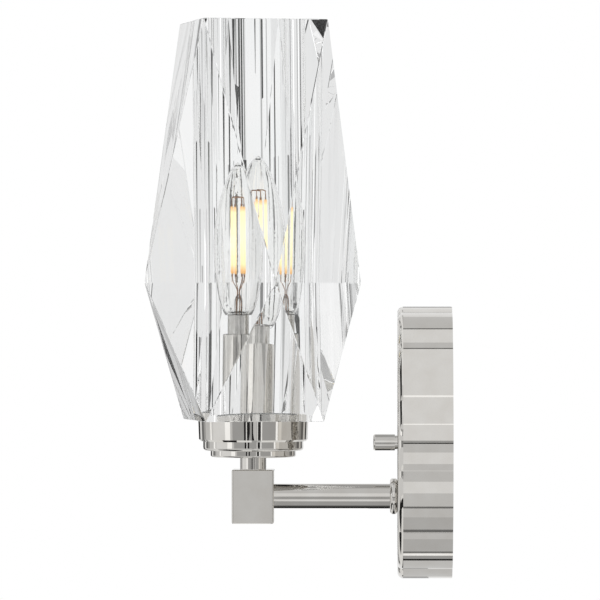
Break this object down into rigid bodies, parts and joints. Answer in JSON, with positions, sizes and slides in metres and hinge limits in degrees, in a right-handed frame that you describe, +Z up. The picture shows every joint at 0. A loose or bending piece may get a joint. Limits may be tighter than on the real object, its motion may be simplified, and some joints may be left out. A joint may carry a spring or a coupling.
{
  "type": "vanity wall light",
  "caption": "Wall sconce with a scalloped round backplate, a straight arm, a square corner block, a stepped cup and an open-topped faceted crystal shade over a candle bulb.",
  "frame": {"origin": "centre of the two junction box slots, in the middle of the backplate on the wall plane", "axes": "+Z up, +Y into the wall, +X to the right for a person who faces the wall; the light projects along -Y"},
  "size_m": [0.1268, 0.1435, 0.2603],
  "materials": {
    "polished_nickel": "polished nickel plate",
    "zinc_steel": "zinc plated",
    "green_steel": "green passivated",
    "cut_crystal": "clear, polished flat cuts",
    "clear_silicone": "clear, matt",
    "black_phenolic": "moulded",
    "brass": "bright",
    "bulb_glass": "clear blown glass",
    "nickel_cap": "nickel plated",
    "solder": "tinned",
    "black_glass": "glossy",
    "led_phosphor": "silicone over LED strip"
  },
  "bodies": {
    "fixture": {"backplate": "polished_nickel", "arm_tube": "polished_nickel", "arm_flange": "polished_nickel", "corner_block": "polished_nickel", "neck_collar": "polished_nickel", "lower_step": "polished_nickel", "middle_step": "polished_nickel", "shade_cup": "polished_nickel", "candle_sleeve": "polished_nickel", "mounting_crossbar": "zinc_steel", "crossbar_stud": "zinc_steel", "stud_nut": "zinc_steel", "arm_nipple": "zinc_steel", "arm_lock_washer": "zinc_steel", "arm_nut": "zinc_steel", "head_nipple": "zinc_steel", "head_lock_washer": "zinc_steel", "head_nut": "zinc_steel", "socket_bracket": "zinc_steel", "ground_screw": "green_steel", "shade_gasket": "clear_silicone", "socket_body": "black_phenolic", "socket_screw_shell": "brass", "socket_contact": "brass"},
    "shade": {"shade": "cut_crystal"},
    "bulb": {"bulb_glass": "bulb_glass", "bulb_cap": "nickel_cap", "bulb_collar": "nickel_cap", "bulb_insulator": "black_glass", "bulb_contact": "solder", "bulb_stem": "bulb_glass", "bulb_filaments": "led_phosphor", "filament_wires": "nickel_cap"},
    "knob": {"plate_knob": "polished_nickel"}
  },
  "joints": [
    {"name": "shade_lift", "type": "slide", "parent": "fixture", "child": "shade", "axis": [0, 0, 1], "range_m": [0, 0.135]},
    {"name": "bulb_turn", "type": "hinge", "parent": "fixture", "child": "bulb", "pos_m": [0, -0.093, 0.06], "axis": [0, 0, 1], "range_deg": [0, 1440]},
    {"name": "knob_turn", "type": "hinge", "parent": "fixture", "child": "knob", "pos_m": [0, -0.031, 0], "axis": [0, -1, 0], "range_deg": [0, 3600]}
  ]
}
